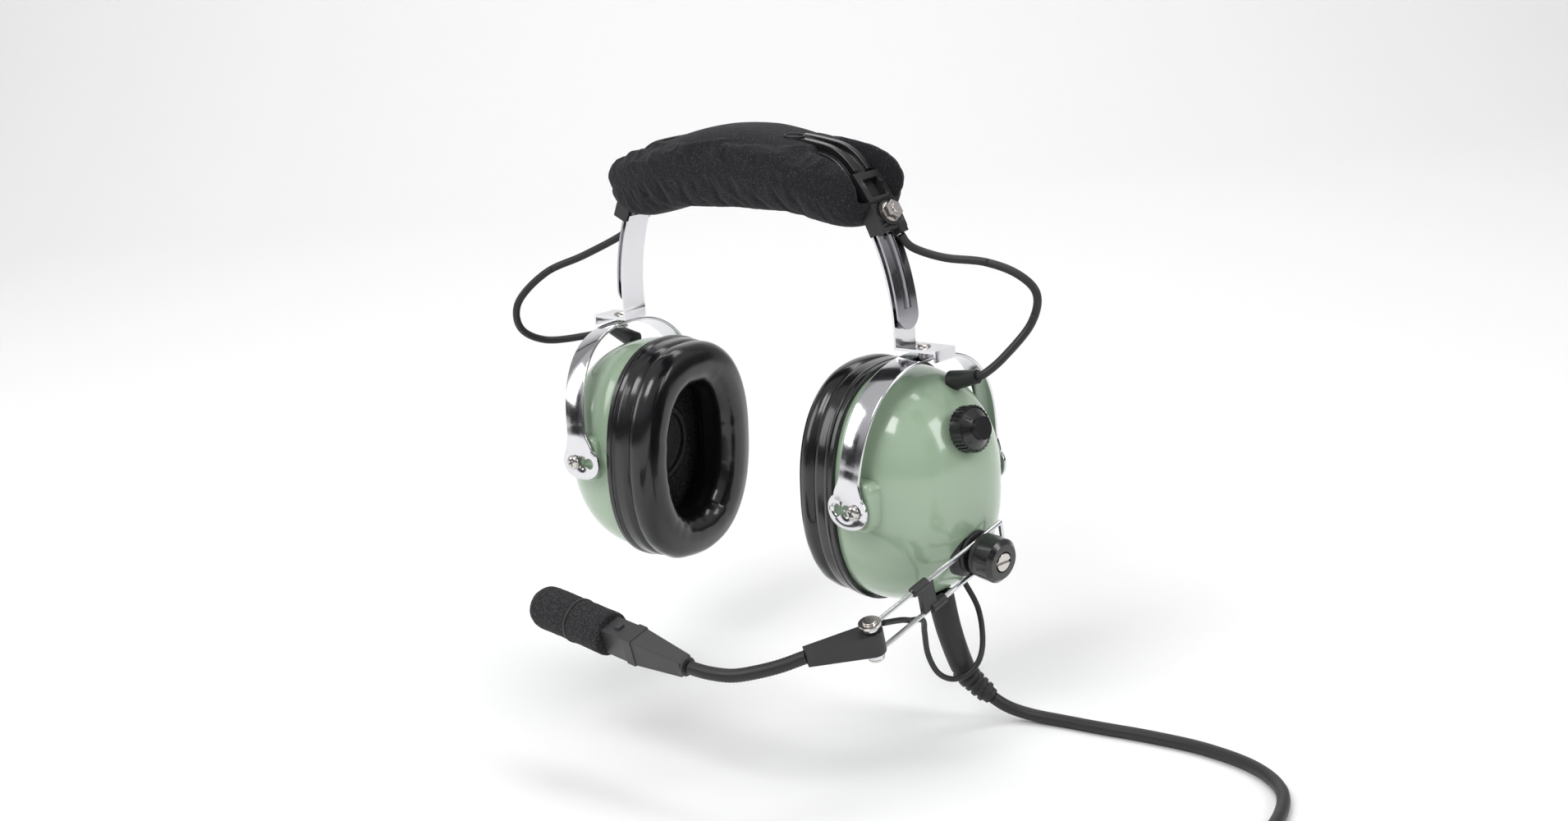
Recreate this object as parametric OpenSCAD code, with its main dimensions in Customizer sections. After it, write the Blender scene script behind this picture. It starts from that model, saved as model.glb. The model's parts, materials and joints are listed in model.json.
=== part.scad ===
// Aviation headset: passive over-ear cups on a sprung headband, with a wire mic boom.
// Millimetres, +Z up, -Y is the wearer's front, +X is the side with the boom.
// The origin is the middle of the wearer's head, halfway between the cup pivots.

/* [Cups] */
// Distance of each cup's tilt axis from the middle
cup_x = 86; // [82:1:96]
// Height of the ear seal
seal_h = 100.4; // [94:0.2:110]
// Width of the ear seal, front to rear
seal_w = 77.5; // [72:0.5:84]
// Depth of the soft ear seal
seal_depth = 21; // [18:1:26]
// Width of the soft rim of the ear seal
seal_rim = 20; // [14:0.5:21]
// Height of the rigid dome
dome_h = 98; // [92:1:106]
// Width of the rigid dome
dome_w = 75; // [70:1:80]
// How far the dome reaches outwards from the tilt axis
dome_out = 26.5; // [22:0.5:30]
// Wall of the dome
dome_wall = 2.2; // [1.6:0.1:3]
// How far the dome's rim lies inwards of the tilt axis
dome_in = 15.8; // [14:0.2:18]
// Thickness of the plate that carries the seal
seal_plate_t = 2.8; // [2:0.2:4]
// Turn of the left cup about its swivel rivet, towards the front
left_toe_in = 5; // [0:1:8]
// Turn of the right cup about its swivel rivet, towards the front
right_toe_in = 3; // [0:1:8]
// Lean of the left cup about its pivot screws
left_tilt = 4; // [-6:1:6]
// Lean of the right cup about its pivot screws
right_tilt = -3; // [-6:1:6]
// Radius of the speaker
speaker_r = 18; // [15:0.5:20]

/* [Yokes] */
// Distance of each swivel rivet from the middle
rivet_x = 89; // [85:1:99]
// Height of the top of the yoke
yoke_z = 56.4; // [54:0.2:62]
// Half of the yoke's span, to the outside of its arms
yoke_half = 43.2; // [42:0.2:48]
// Width of the yoke's strap
yoke_w = 11; // [9:0.5:13]
// Thickness of the yoke's strap
yoke_t = 1.3; // [1:0.1:2]
// Lean of the yoke from upright
yoke_lean = 7; // [0:1:9]

/* [Headband] */
// Width of the steel straps
strap_w = 12.7; // [11:0.1:15]
// Thickness of the steel straps
strap_t = 1; // [0.8:0.1:1.4]
// Bend radius of the inner strap
strap_r = 90.6; // [88:0.2:96]
// Gap between the two straps, where the clamp bolt's head slides
strap_gap = 1.6; // [1.5:0.1:2.4]
// Angle of the clamp bolt round the strap's bend centre
bolt_a = 28.3; // [27:0.1:31]
// Thickness of the headband's spring
spring_t = 0.8; // [0.6:0.1:1.2]
// Height of the spring at the top of the head
band_top = 141; // [139:1:146]
// Depth of the head pad, front to rear
pad_w = 46; // [40:1:54]

/* [Boom] */
// Height of the boom's pivot from the tilt axis
boom_z = -22; // [-26:1:-18]
// Diameter of the boom's wires
wire_d = 2; // [1.6:0.1:2.4]
// Distance between the wires
wire_gap = 13; // [12:0.5:14]
// Length of wire in front of the boom's pivot
wire_front = 62; // [55:1:80]
// Length of wire behind the boom's pivot
wire_back = 14; // [13:1:20]
// Diameter of the boom's tension knob
boom_knob_d = 18.5; // [17:0.5:20]
// Droop of the boom at rest
boom_droop = 16.5; // [10:0.5:20]
// Diameter of the gooseneck
goose_d = 5.4; // [4.5:0.1:6]
// Diameter of the foam muff
muff_d = 18; // [16:0.5:20]
// Diameter of the volume knob
volume_d = 19; // [16:0.5:20]

/* [Cords] */
// Diameter of the main cord
main_d = 5.2; // [4.6:0.1:5.6]
// Diameter of the cord between the cups
cross_d = 3.4; // [3:0.1:3.8]
// Diameter of the microphone's lead
lead_d = 2.4; // [2:0.1:2.8]
// Diameter of the two leads that end in plugs
tail_d = 3.6; // [3.2:0.1:4]

/* [Hidden] */
$fn = 48;
EPS = 0.01;
// Overlap of neighbouring arcs, in degrees
JOIN_A = 0.1;
RIGHT = 1;
LEFT = -1;
SIDES = [RIGHT, LEFT];

// Bend centre of the straps, for the right side
bend_x = -11;
bend_z = 66;
slot_w = 4.6;
bolt_r = 2;
slot_strap_r = strap_r + strap_t + strap_gap;
spring_r = slot_strap_r + strap_t / 2 + 0.35 + spring_t / 2;
bracket_t = 3.4;
bracket_r0 = spring_r + spring_t / 2;
bracket_r1 = bracket_r0 + bracket_t;
bracket_w = 15.4;
band_side_a = 43;
corner_r = 20;
corner_x = bend_x + (spring_r - corner_r) * cos(band_side_a);
corner_z = bend_z + (spring_r - corner_r) * sin(band_side_a);
drop = band_top - corner_z;
top_r = (corner_x * corner_x + drop * drop - corner_r * corner_r) / (2 * (drop - corner_r));
top_z = band_top - top_r;
top_a = atan2(corner_x, corner_z - top_z);

foot_z = yoke_z + 1.4;
foot_t = 1.2;
rivet_r = 2;
seal_x = -dome_in - seal_plate_t;
pin_y = yoke_half - yoke_t;
boom_lean = 5;
boom_base_x = 21;
boom_h = 7;
goose_sides = 12;

function toe(side) = side == RIGHT ? right_toe_in : left_toe_in;
function tilt(side) = side == RIGHT ? right_tilt : left_tilt;

// ---------------------------------------------------------------- shapes
function oval_point(w, h, n, a) =
    [w / 2 * sign(cos(a)) * pow(abs(cos(a)), 2 / n), h / 2 * sign(sin(a)) * pow(abs(sin(a)), 2 / n)];
function oval(w, h, n, k) = [for (i = [0 : k - 1]) oval_point(w, h, n, 360 * i / k)];
function reversed(v) = [for (i = [len(v) - 1 : -1 : 0]) v[i]];
// A ring of the cup: its outline at depth x
function cup_ring(x, w, h, n = 2.35, k = 40) = [for (p = oval(w, h, n, k)) [x, p[0], p[1]]];

// Skin over rings of equal count, with flat ends or joined into a closed tube
module skin(rings, closed = false) {
    k = len(rings[0]);
    m = len(rings);
    points = [for (r = rings) for (p = r) p];
    last = closed ? m : m - 1;
    walls = [for (i = [0 : last - 1]) for (j = [0 : k - 1])
        let (q = (i + 1) % m, a = i * k + j, b = i * k + (j + 1) % k, c = q * k + (j + 1) % k, d = q * k + j)
        each [[a, b, c], [a, c, d]]];
    ends = closed ? [] : [[for (j = [0 : k - 1]) k - 1 - j], [for (j = [0 : k - 1]) (m - 1) * k + j]];
    polyhedron(points, concat(walls, ends), convexity = 6);
}

// Round tube along a smooth curve through the points; across is a direction the curve never follows
function curve_point(p, i, t) =
    let (n = len(p) - 1, a = p[max(i - 1, 0)], b = p[i], c = p[i + 1], d = p[min(i + 2, n)])
    0.5 * (2 * b + t * (c - a) + t * t * (2 * a - 5 * b + 4 * c - d) + t * t * t * (3 * b - a - 3 * c + d));
function curve(p, sub) =
    [for (i = [0 : len(p) - 2]) for (s = [0 : sub - 1]) curve_point(p, i, s / sub), p[len(p) - 1]];
function unit(v) = v / norm(v);
function tube_ring(c, i, d, across, sides) =
    let (n = len(c) - 1, t = unit(c[min(i + 1, n)] - c[max(i - 1, 0)]))
    let (u = unit(cross(t, across)), v = cross(u, t))
    [for (j = [0 : sides - 1]) c[i] + d / 2 * (cos(360 * j / sides) * u + sin(360 * j / sides) * v)];
module cord_tube(points, d, across, sides = 8, sub = 2) {
    c = curve(points, sub);
    skin([for (i = [0 : len(c) - 1]) tube_ring(c, i, d, across, sides)]);
}

// Flat sector between two radii and two angles, in the plane of the wearer's face
module sector(r0, r1, a0, a1) {
    reach = r1 * 1.6;
    mid = (a0 + a1) / 2;
    intersection() {
        difference() {
            circle(r = r1, $fn = 180);
            circle(r = r0, $fn = 180);
        }
        polygon([[0, 0], for (a = [a0, mid, a1]) reach * [cos(a), sin(a)]]);
    }
}
// Extrudes a face-plane outline to a width centred on y
module to_width(w, y = 0) translate([0, y + w / 2, 0]) rotate([90, 0, 0]) linear_extrude(w) children();
module bent_strip(r, t, a0, a1, w) translate([bend_x, 0, bend_z]) to_width(w)
    sector(r - t / 2, r + t / 2, a0, a1);
// Extrudes an outline, drawn as seen from outside the cup, from depth x outwards
module outwards(x, h) translate([x, 0, 0]) rotate([90, 0, 90]) linear_extrude(h) children();
module on_side(side) {
    if (side == RIGHT) children();
    else mirror([1, 0, 0]) children();
}
// Placed at an angle round the bend centre, with X outwards along the radius
module at_bend(a, r) translate([bend_x + r * cos(a), 0, bend_z + r * sin(a)]) rotate([0, -a, 0]) children();
module rod_x(r, x0, x1) translate([x0, 0, 0]) rotate([0, 90, 0]) cylinder(r = r, h = x1 - x0);
module rod_y(r, y0, y1) translate([0, y0, 0]) rotate([-90, 0, 0]) cylinder(r = r, h = y1 - y0);
module hex_x(across, x0, x1) translate([x0, 0, 0]) rotate([0, 90, 0])
    cylinder(d = across / cos(30), h = x1 - x0, $fn = 6);

module at_yoke(side) on_side(side)
    translate([rivet_x, 0, 0]) rotate([0, 0, -toe(side)]) translate([-rivet_x, 0, 0]) children();
module at_cup(side) at_yoke(side) translate([cup_x, 0, 0]) rotate([0, -tilt(side), 0]) children();

// ---------------------------------------------------------------- headband
module band_path(r_off, t, a0) {
    low = r_off - t / 2;
    high = r_off + t / 2;
    for (side = SIDES) mirror([side == LEFT ? 1 : 0, 0]) {
        translate([bend_x, bend_z]) sector(spring_r + low, spring_r + high, a0, band_side_a);
        translate([corner_x, corner_z])
            sector(corner_r + low, corner_r + high, band_side_a - JOIN_A, 90 - top_a + JOIN_A);
        translate([0, top_z]) sector(top_r + low, top_r + high, 90 - top_a, 90 + JOIN_A);
    }
}

module headband_spring() color("silver") difference() {
    to_width(strap_w) band_path(0, spring_t, bolt_a - 4);
    for (side = SIDES) on_side(side) at_bend(bolt_a, 0) rod_x(bolt_r + 0.1, slot_strap_r, bracket_r1);
}

guard_a = bolt_a + 12;
module cord_channel() color([0.07, 0.07, 0.07]) difference() {
    to_width(11) band_path(spring_t / 2 + 1.8, 3.4, guard_a);
    to_width(5) band_path(spring_t / 2 + 2.6, 3.4, guard_a - 1);
}

gland_y = 4.5;
gland_a = bolt_a - 4;
module end_bracket(side) color([0.06, 0.06, 0.06]) on_side(side) {
    difference() {
        union() {
            bent_strip((bracket_r0 + bracket_r1) / 2, bracket_t, gland_a, bolt_a + 11.4, bracket_w);
            for (s = SIDES) translate([0, s * (strap_w / 2 + 0.95), 0])
                bent_strip(bracket_r0 - 2, 4 + EPS, gland_a, bolt_a + 11.4, 0.8);
            at_bend(bolt_a, 0) rod_x(5.4, bracket_r0 + 1, bracket_r1 + 0.6);
            at_bend(gland_a, 0) translate([bracket_r0 + 0.3, gland_y - 2.3, -2]) cube([3.5, 4.6, 3]);
        }
        at_bend(bolt_a, 0) rod_x(bolt_r + 0.1, bracket_r0 - 3, bracket_r1 + 2);
        bent_strip((bracket_r0 + bracket_r1) / 2 + 0.6, bracket_t, bolt_a + 4.6, bolt_a + 9.6, 9);
    }
}

module clamp_bolts() color("silver") for (side = SIDES) on_side(side) at_bend(bolt_a, 0) {
    rod_x(3.6, slot_strap_r - strap_t / 2 - 1.25, slot_strap_r - strap_t / 2 - 0.35);
    rod_x(bolt_r, slot_strap_r - strap_t / 2 - 0.4, bracket_r1 + 5);
}
module clamp_nuts() color("silver") for (side = SIDES) on_side(side) at_bend(bolt_a, 0) difference() {
    union() {
        hex_x(7, bracket_r1 + 1.3, bracket_r1 + 4.3);
        rod_x(4.3, bracket_r1 + 0.6, bracket_r1 + 1.4);
    }
    rod_x(bolt_r, bracket_r1, bracket_r1 + 6);
}

pad_end_x = 79;
module pad_outline() polygon(concat(
    [for (i = [0 : 12]) let (x = 60 - 10 * i) [x, 149 - 11.5 * pow(abs(x) / 60, 2.6)]],
    [[-69, 133.5], [-75.5, 127.5], [-pad_end_x, 121], [-77.5, 114.5], [-72, 110]],
    [for (i = [0 : 12]) let (x = -60 + 10 * i) [x, 107.6 + 7.6 * pow(cos(x * 2), 2)]],
    [[72, 110], [77.5, 114.5], [pad_end_x, 121], [75.5, 127.5], [69, 133.5]]));
module head_pad() color([0.09, 0.09, 0.1]) difference() {
    to_width(pad_w) pad_outline();
    to_width(strap_w + 4.6) {
        band_path(0.2, 9.2, bolt_a - 25);
        for (side = SIDES) mirror([side == LEFT ? 1 : 0, 0]) {
            translate([bend_x, bend_z]) sector(strap_r - 3, bracket_r1 + 12, bolt_a - 25, bolt_a + 13.5);
            translate([bend_x, bend_z]) sector(strap_r - 3, spring_r, bolt_a - 25, bolt_a + 17.5);
        }
    }
}

// ---------------------------------------------------------------- sliding straps
strap_low_a = -3.2;
foot_in_x = bend_x + strap_r - 0.6;
foot_out_x = rivet_x + 11.2;
module inner_strap(side) color([0.8, 0.8, 0.82]) on_side(side) difference() {
    union() {
        bent_strip(strap_r, strap_t, strap_low_a, bolt_a - 2, strap_w);
        translate([foot_in_x, -strap_w / 2, foot_z]) cube([foot_out_x - foot_in_x, strap_w, foot_t]);
        translate([foot_in_x, -strap_w / 2, foot_z]) cube([strap_t, strap_w, 4.4]);
        translate([foot_out_x - strap_t, -strap_w / 2, foot_z - 3.4]) cube([strap_t, strap_w, 3.5]);
    }
    translate([rivet_x, 0, foot_z - 1]) cylinder(r = rivet_r, h = foot_t + 2);
}
module slotted_strap(side) color([0.75, 0.75, 0.78]) on_side(side) difference() {
    union() {
        bent_strip(slot_strap_r, strap_t, 3.6, bolt_a + 7.6, strap_w);
        translate([bend_x, 0, bend_z]) intersection() {
            to_width(strap_w) sector(slot_strap_r - strap_t / 2, slot_strap_r + strap_t / 2, -3, 5);
            rotate([0, -3.6, 0]) rod_x(strap_w / 2, 60, 120);
        }
        at_bend(1.6, 0) rod_x(2.1, strap_r + strap_t / 2, slot_strap_r + EPS);
    }
    bent_strip(slot_strap_r, 6, 5, bolt_a + 5.9, slot_w);
}
module foot_rivet(side) color("silver") on_side(side) translate([rivet_x, 0, 0]) {
    translate([0, 0, foot_z + foot_t]) cylinder(r1 = 3.4, r2 = 2.2, h = 1.1);
    translate([0, 0, yoke_z - 3]) cylinder(r = rivet_r, h = foot_z + foot_t - yoke_z + 3.2);
    translate([0, 0, yoke_z - 3.4]) cylinder(r = 3, h = 0.9);
}

// ---------------------------------------------------------------- yokes
yoke_steps = 40;
function yoke_arch(a, b) = [for (i = [0 : yoke_steps]) oval_point(2 * a, 2 * b, 2.5, 180 * i / yoke_steps)];
module yoke(side) color([0.8, 0.8, 0.82]) at_yoke(side) translate([cup_x - 4, 0, 0]) {
    outer = yoke_arch(yoke_half, yoke_z);
    inner = yoke_arch(yoke_half - yoke_t, yoke_z - yoke_t);
    difference() {
        union() {
            rotate([0, yoke_lean, 0]) outwards(-yoke_w / 2, yoke_w) polygon(concat(outer, reversed(inner)));
            for (s = SIDES) intersection() {
                translate([0, s * (yoke_half - yoke_t / 2), 0]) rotate([90, 0, 0])
                    linear_extrude(yoke_t, center = true) polygon(oval(21, 15.5, 2.2, 48));
                translate([-20, s > 0 ? 0 : -60, -20]) cube([40, 60, 40]);
            }
        }
        for (x = [0 : 2]) translate([4 - 4.4 * x, 0, 0]) rod_y(x == 0 ? 2.05 : 2.5, -60, 60);
        translate([-4.4, -60, -1.5]) cube([8, 120, 3]);
        translate([rivet_x - cup_x + 4, 0, yoke_z - 8]) cylinder(r = rivet_r + 0.06, h = 12);
    }
}

// ---------------------------------------------------------------- cups
function dome_size(q, p = 2.35) = pow(max(1 - pow(q, p), 0.0004), 1 / p);
dome_steps = [0.998, 0.98, 0.94, 0.88, 0.8, 0.7, 0.58, 0.44, 0.28, 0.12, 0];
function dome_rings(wall) = [for (q = dome_steps) cup_ring(-dome_in + (dome_in + dome_out - wall) * q,
    (dome_w - 2 * wall) * dome_size(q), (dome_h - 2 * wall) * dome_size(q))];
// Flat pads on the dome's front and rear that the yoke's end plates turn against
pad_face_y = pin_y - 1.4;
module lug_pad(s) translate([0, s * (pad_face_y - 6.5), 0]) rotate([90, 0, 0])
    linear_extrude(13, center = true) translate([-2.4, 1.5]) polygon(oval(17.4, 21, 4, 40));
module dome(side) color([0.5, 0.62, 0.5]) at_cup(side) {
    difference() {
        union() {
            skin(concat(dome_rings(0), reversed(dome_rings(dome_wall))));
            for (s = SIDES) {
                rod_y(3.6, s > 0 ? 31 : -pin_y + 0.5, s > 0 ? pin_y - 0.5 : -31);
                lug_pad(s);
            }
        }
        for (s = SIDES) rod_y(1.4, s > 0 ? 30 : -60, s > 0 ? 60 : -30);
        if (side == RIGHT) {
            at_volume() rod_x(3.6, -12, 6);
            at_boom() rod_x(3, -14, 6);
        }
        skin([for (q = dome_steps) cup_ring(-dome_in - 0.2 + (dome_in + dome_out - dome_wall) * q,
            (dome_w - 2 * dome_wall) * dome_size(q), (dome_h - 2 * dome_wall) * dome_size(q))]);
    }
}
module seal_plate(side) color([0.06, 0.06, 0.06]) at_cup(side)
    outwards(seal_x + 0.05, seal_plate_t - 0.1) difference() {
        polygon(oval(seal_w + 1.2, seal_h + 1.2, 2.35, 64));
        polygon(oval(seal_w - 26, seal_h - 26, 2.35, 48));
    }
// Section of a rim 17.5 wide: inset from the outline and share of the depth
seal_section = [[0.4, 0], [0, 0.12], [0, 0.3], [0.5, 0.44], [0.1, 0.56], [0.8, 0.76], [3.6, 0.93], [7.6, 1],
    [11.4, 0.985], [14.8, 0.88], [17, 0.68], [17.4, 0.45], [16.4, 0.2], [14.2, 0]];
module ear_seal(side) color([0.04, 0.04, 0.05]) at_cup(side)
    skin([for (s = seal_section) let (in = 2 * s[0] * seal_rim / 17.5)
        cup_ring(seal_x - s[1] * seal_depth, seal_w - in, seal_h - in, 2.35, 32)], closed = true);
module speaker(side) color([0.15, 0.15, 0.16]) at_cup(side) difference() {
    union() {
        rod_x(speaker_r, seal_x + seal_plate_t + 0.6, -7);
        rod_x(11, -7.05, -2);
    }
    rod_x(speaker_r - 2.4, seal_x + seal_plate_t, -12.4);
}
module foam_liner(side) color([0.2, 0.2, 0.2]) at_cup(side)
    outwards(-dome_in + 0.6, 7) difference() {
        polygon(oval(dome_w - 14, dome_h - 14, 2.35, 48));
        circle(r = speaker_r + 0.4);
    }
module pivot_screws(side) color("silver") at_cup(side) for (s = SIDES) {
    rod_y(1.4, s > 0 ? 34 : -pin_y, s > 0 ? pin_y : -34);
    rod_y(2, s > 0 ? pin_y - 0.45 : -yoke_half - 0.3, s > 0 ? yoke_half + 0.3 : 0.45 - pin_y);
    rod_y(3, s > 0 ? yoke_half + 0.3 : -yoke_half - 2, s > 0 ? yoke_half + 2 : -yoke_half - 0.3);
}

relief_base = [7, 9, 44];
relief_rise = 16;
relief_len = 14;
module cord_relief(side) color([0.05, 0.05, 0.05])
    at_cup(side) translate(relief_base) rotate([0, -relief_rise, 0]) difference() {
        rotate([0, 90, 0]) cylinder(r1 = 4.2, r2 = 2.8, h = relief_len);
        dome_cut();
    }
// Clears the dome's skin from a piece that is bonded to its outside, in that piece's own frame
module dome_cut() rotate([0, relief_rise, 0]) translate(-relief_base) skin(dome_rings(0));

// ---------------------------------------------------------------- volume control
volume_at = [19.6, -1.5, 28];
volume_lean = 14;
module at_volume() translate(volume_at) rotate([0, -volume_lean, 0]) children();
module volume_pot() color([0.3, 0.3, 0.3]) at_cup(RIGHT) at_volume() {
    rod_x(8, -16, -6.4);
    rod_x(3.5, -6.45, 2.4);
    rod_x(3, 2.35, 8);
}
flutes = 30;
module volume_knob() color([0.05, 0.05, 0.05]) at_cup(RIGHT) at_volume() difference() {
    union() {
        rod_x(volume_d / 2 - 0.5, 3, 8.6);
        for (i = [0 : flutes - 1]) rotate([360 * i / flutes, 0, 0])
            translate([3.2, volume_d / 2 - 1, -0.5]) cube([5.2, 1, 1]);
        translate([8.55, 0, 0]) rotate([0, 90, 0]) cylinder(r1 = volume_d / 2 - 1.2, r2 = 5, h = 2.4);
        rod_x(4.8, 10.9, 13);
    }
    rod_x(3.05, 2, 8.2);
}

// ---------------------------------------------------------------- boom
module at_boom() translate([boom_base_x, 0, boom_z]) rotate([0, boom_lean, 0]) children();
module at_wires() at_boom() translate([boom_h, 0, 0]) rotate([boom_droop, 0, 0]) children();
module boom_base() color([0.05, 0.05, 0.05]) at_cup(RIGHT) difference() {
    at_boom() {
        translate([-3, 0, 0]) rotate([0, 90, 0]) cylinder(r1 = 12, r2 = 11.6, h = 4.4);
        translate([1.35, 0, 0]) rotate([0, 90, 0]) cylinder(r1 = 11.6, r2 = 9, h = 2.2);
    }
    skin(dome_rings(0));
    at_boom() rod_x(2.55, -14, 12);
}
module boom_stud() color("silver") at_cup(RIGHT) at_boom() {
    rod_x(4.2, -8, -5.4);
    rod_x(2.5, -5.45, 14);
}
module boom_swivel() color([0.06, 0.06, 0.06]) at_cup(RIGHT) difference() {
    at_boom() {
        rod_x(9, 3.9, boom_h - 1.4);
        rod_x(wire_gap / 2 - wire_d / 2 - 0.3, boom_h - 1.45, boom_h + 1.2);
        rod_x(9, boom_h + 1.15, boom_h + 3.4);
    }
    at_boom() rod_x(2.55, 0, 20);
}
module wire_line(y0, y1, z) translate([0, 0, z]) rod_y(wire_d / 2, y0, y1);
module boom_wires() color("silver") at_cup(RIGHT) at_wires() {
    for (s = SIDES) wire_line(-wire_front, wire_back, s * wire_gap / 2);
    for (s = SIDES) translate([0, wire_back, s * wire_gap / 2]) sphere(d = wire_d);
    translate([0, wire_back, -wire_gap / 2]) cylinder(d = wire_d, h = wire_gap);
    for (s = SIDES) translate([0, -wire_front, s * wire_gap / 2]) difference() {
        translate([0, -2.9, -wire_d / 2]) cylinder(r = 3.4, h = wire_d);
        translate([0, -2.9, -3]) cylinder(r = 1.75, h = 6);
    }
}
clip_y = [-36, -28];
module lead_clip() color([0.05, 0.05, 0.05]) at_cup(RIGHT) at_wires() difference() {
    union() {
        translate([0, 0, wire_gap / 2]) rod_y(2.1, clip_y[0] - 4, clip_y[0] + 4);
        translate([0, 0, -wire_gap / 2]) rod_y(2.1, clip_y[1] - 4, clip_y[1] + 4);
        translate([-1.4, clip_y[0] - 0.5, -wire_gap / 2]) cube([2.4, 7.5, wire_gap]);
    }
    for (s = SIDES) wire_line(-wire_front, wire_back, s * wire_gap / 2);
}
module boom_knob() color([0.04, 0.04, 0.04]) at_cup(RIGHT) at_boom() difference() {
    union() {
        rod_x(boom_knob_d / 2, boom_h + 3.8, boom_h + 10.6);
        translate([boom_h + 10.55, 0, 0]) rotate([0, 90, 0])
            cylinder(r1 = boom_knob_d / 2, r2 = boom_knob_d / 2 - 1.8, h = 1.8);
    }
    rod_x(2.6, boom_h, boom_h + 9);
    rod_x(4.45, boom_h + 9.4, boom_h + 14);
}
module boom_screw() color("silver") at_cup(RIGHT) at_boom() difference() {
    translate([boom_h + 9.4, 0, 0]) rotate([0, 90, 0]) cylinder(r1 = 4.4, r2 = 3.8, h = 3.2);
    translate([boom_h + 11.8, -6, -0.5]) cube([3, 12, 1]);
}

// ---------------------------------------------------------------- microphone
bolt_y = -wire_front - 2.9;
module at_bracket() at_wires() translate([0, bolt_y, 0]) children();
module bracket_bolt() color("silver") at_cup(RIGHT) at_bracket() {
    translate([0, 0, -wire_gap / 2 - 1.9]) cylinder(r = 1.7, h = wire_gap + 3.4);
    translate([0, 0, wire_gap / 2 + 1.05]) cylinder(r = 4.6, h = 1.1);
    translate([0, 0, wire_gap / 2 + 2.1]) cylinder(r = 2.6, h = 1);
    translate([0, 0, -wire_gap / 2 - 2.1]) cylinder(r = 3.4, h = 1);
}
inward = 31;
bracket_len = 27;
bracket_h = wire_gap - wire_d - 0.8;
module at_arm() at_bracket() rotate([0, 0, -inward]) children();
module mic_bracket() color([0.05, 0.05, 0.05]) at_cup(RIGHT) at_arm() difference() {
    hull() {
        translate([0, 0, -bracket_h / 2]) cylinder(r = 4.6, h = bracket_h, $fn = 32);
        translate([-3, -bracket_len, -1]) cube([6, 1, 6]);
    }
    translate([0, 0, -10]) cylinder(r = 1.75, h = 20);
}
// The gooseneck leaves the bracket and turns across the wearer's mouth
goose_points = [[0, -0.5, 2], [-0.5, -10, 1], [-2, -19.5, 0.5], [-5, -28.5, 0], [-9.5, -36.5, 1],
    [-16, -43, 1.5]];
goose_end = goose_points[len(goose_points) - 1];
mic_turn = 56;
module at_goose() at_arm() translate([0, -bracket_len, 0]) children();
module gooseneck() color([0.1, 0.1, 0.1]) at_cup(RIGHT) at_goose()
    cord_tube(goose_points, goose_d, [0, 0, 1], goose_sides, 3);
module at_mic() at_goose() translate(goose_end) rotate([0, 0, -mic_turn]) children();
housing_len = 47;
module mic_housing() color([0.12, 0.12, 0.12]) at_cup(RIGHT) at_mic() difference() {
    union() {
        rod_y(3.9, -2.6, -0.9);
        hull() {
            translate([-3.3, -2.6, -3.3]) cube([6.6, 0.5, 6.6]);
            translate([-5, -28, -5.8]) cube([10, 1, 11.6]);
        }
        translate([-5.4, -31.5, -6.2]) cube([10.8, 4.6, 12.4]);
        translate([-5, -housing_len, -5.8]) cube([10, housing_len - 31.4, 11.6]);
        translate([-1.6, -39, 5.7]) cube([3.2, 2.6, 1.2]);
    }
    rod_y(4.6, -housing_len - 1, 3.2 - housing_len);
}
module mic_capsule() color([0.5, 0.5, 0.5]) at_cup(RIGHT) at_mic()
    rod_y(4.5, -housing_len - 3, 3 - housing_len);
muff_y = -88;
muff_len = 44;
module foam_muff() color([0.08, 0.08, 0.09]) at_cup(RIGHT) at_mic() difference() {
    union() {
        rod_y(muff_d / 2, muff_y + 5, muff_y + muff_len);
        translate([0, muff_y + 6, 0]) intersection() {
            sphere(d = muff_d);
            rod_y(muff_d, -5.9, 0.5);
        }
    }
    translate([-5.2, -housing_len, -6]) cube([10.4, 20, 12]);
    rod_y(5.2, -housing_len - 4, 1 - housing_len);
    ring_groove(muff_d / 2 - 0.9, muff_d / 2 + 2, muff_y + 24.2, muff_y + 25.8);
}
module ring_groove(r0, r1, y0, y1) difference() {
    rod_y(r1, y0, y1);
    rod_y(r0, y0 - 1, y1 + 1);
}
module muff_ring() color([0.05, 0.05, 0.05]) at_cup(RIGHT) at_mic()
    ring_groove(muff_d / 2 - 0.85, muff_d / 2 + 0.35, muff_y + 24.3, muff_y + 25.7);

// ---------------------------------------------------------------- cords
// The floor that the main cord lies on
floor_z = -104;
lie_z = floor_z + main_d / 2;
relief_top = [89.5, 0, -45];
relief_mid = [95, 5.6, -79];
relief_end = [103, 13, -92.5];
module main_relief() color([0.05, 0.05, 0.05]) difference() {
    union() {
        cone_between(relief_top, relief_mid, 5.8, 5);
        cone_between(relief_mid, relief_end, 4.6, 3.6);
        for (i = [0 : 4]) let (a = relief_mid + (relief_end - relief_mid) * (i + 0.3) / 5.6)
            cone_between(a, a + unit(relief_end - relief_mid) * 1.6, 5.6 - 0.18 * i, 5.6 - 0.18 * i);
    }
    at_cup(RIGHT) skin(dome_rings(0));
}
module cone_between(a, b, r1, r2) {
    d = b - a;
    translate(a) rotate([0, acos(d[2] / norm(d)), atan2(d[1], d[0])]) cylinder(r1 = r1, r2 = r2, h = norm(d));
}

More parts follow.
